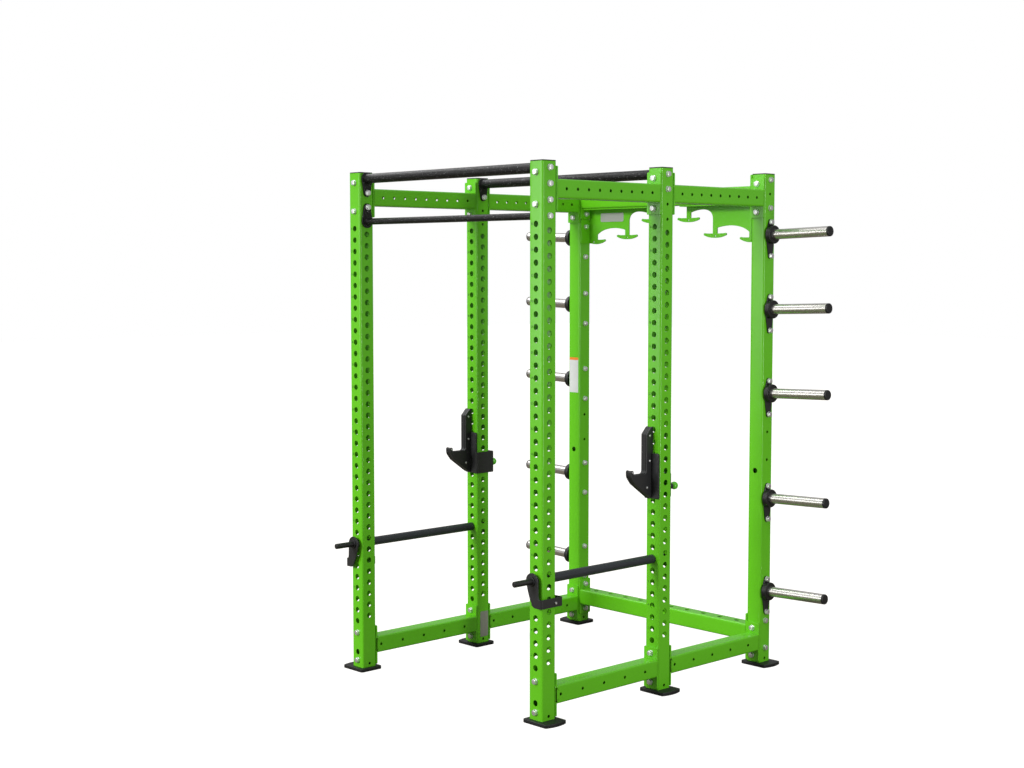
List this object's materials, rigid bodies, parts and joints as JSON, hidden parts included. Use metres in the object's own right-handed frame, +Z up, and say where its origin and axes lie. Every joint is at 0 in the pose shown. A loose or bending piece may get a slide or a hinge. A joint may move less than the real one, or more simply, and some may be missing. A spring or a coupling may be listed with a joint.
{
  "type": "power cage",
  "caption": "Free-standing power cage of square tube with pull-up bars, weight horns, band hooks, J-cups with pull pins and pin safeties with spinning sleeves.",
  "frame": {"origin": "on the floor, in the middle of the overall footprint", "axes": "+Z up, -Y towards the front, where the safety pins are drawn out, +X to the right as seen from the front"},
  "size_m": [1.886, 1.588, 2.222],
  "materials": {
    "green_powder_coat": "gloss lime green powder coat",
    "black_powder_coat": "satin black powder coat",
    "black_plastic": "matt black moulded plastic",
    "chrome_plate": "bright chrome plate",
    "zinc_steel": "bright zinc plate",
    "green_plastic": "gloss green moulded ball knob",
    "blank_plate": "satin blank name plate"
  },
  "bodies": {
    "root": {"upright_front_right": "green_powder_coat", "foot_front_right": "black_powder_coat", "cap_front_right": "black_plastic", "upright_front_left": "green_powder_coat", "foot_front_left": "black_powder_coat", "cap_front_left": "black_plastic", "upright_middle_right": "green_powder_coat", "foot_middle_right": "black_powder_coat", "cap_middle_right": "black_plastic", "upright_middle_left": "green_powder_coat", "foot_middle_left": "black_powder_coat", "cap_middle_left": "black_plastic", "upright_rear_right": "green_powder_coat", "foot_rear_right": "black_powder_coat", "cap_rear_right": "black_plastic", "upright_rear_left": "green_powder_coat", "foot_rear_left": "black_powder_coat", "cap_rear_left": "black_plastic", "top_beam_front_right": "green_powder_coat", "base_beam_front_right": "green_powder_coat", "top_beam_front_left": "green_powder_coat", "base_beam_front_left": "green_powder_coat", "top_beam_rear_right": "green_powder_coat", "base_beam_rear_right": "green_powder_coat", "top_beam_rear_left": "green_powder_coat", "base_beam_rear_left": "green_powder_coat", "cross_beam_top": "green_powder_coat", "cross_beam_base": "green_powder_coat", "bar_front_upper": "black_powder_coat", "bar_front_lower": "black_powder_coat", "bar_middle_upper": "black_powder_coat", "horn_right_1": "chrome_plate", "horn_right_2": "chrome_plate", "horn_right_3": "chrome_plate", "horn_right_4": "chrome_plate", "horn_right_5": "chrome_plate", "hook_plate_right": "green_powder_coat", "jcup_bracket_right": "black_powder_coat", "jcup_liner_right": "black_plastic", "pin_housing_right": "black_powder_coat", "horn_left_1": "chrome_plate", "horn_left_2": "chrome_plate", "horn_left_3": "chrome_plate", "horn_left_4": "chrome_plate", "horn_left_5": "chrome_plate", "hook_plate_left": "green_powder_coat", "jcup_bracket_left": "black_powder_coat", "jcup_liner_left": "black_plastic", "pin_housing_left": "black_powder_coat", "name_plate": "blank_plate"},
    "safety_right": {"safety_pin_right": "black_powder_coat"},
    "sleeve_right": {"safety_sleeve_right": "black_plastic"},
    "pull_pin_right": {"pull_pin_right": "zinc_steel", "pin_spring_right": "zinc_steel", "pin_knob_right": "green_plastic"},
    "safety_left": {"safety_pin_left": "black_powder_coat"},
    "sleeve_left": {"safety_sleeve_left": "black_plastic"},
    "pull_pin_left": {"pull_pin_left": "zinc_steel", "pin_spring_left": "zinc_steel", "pin_knob_left": "green_plastic"}
  },
  "joints": [
    {"name": "safety_flip_right", "type": "hinge", "parent": "root", "child": "safety_right", "pos_m": [0.575, -0.639, 0.575], "axis": [0, -1, 0], "range_deg": [0, 115]},
    {"name": "sleeve_spin_right", "type": "hinge", "parent": "safety_right", "child": "sleeve_right", "pos_m": [0.575, -0.3, 0.575], "axis": [0, 1, 0], "continuous": true},
    {"name": "pin_pull_right", "type": "slide", "parent": "root", "child": "pull_pin_right", "axis": [0, 1, 0], "range_m": [0, 0.022], "stiffness_N_per_m": 900, "springref_m": -0.012},
    {"name": "safety_flip_left", "type": "hinge", "parent": "root", "child": "safety_left", "pos_m": [-0.575, -0.639, 0.575], "axis": [0, 1, 0], "range_deg": [0, 115]},
    {"name": "sleeve_spin_left", "type": "hinge", "parent": "safety_left", "child": "sleeve_left", "pos_m": [-0.575, -0.3, 0.575], "axis": [0, 1, 0], "continuous": true},
    {"name": "pin_pull_left", "type": "slide", "parent": "root", "child": "pull_pin_left", "axis": [0, 1, 0], "range_m": [0, 0.022], "stiffness_N_per_m": 900, "springref_m": -0.012}
  ]
}
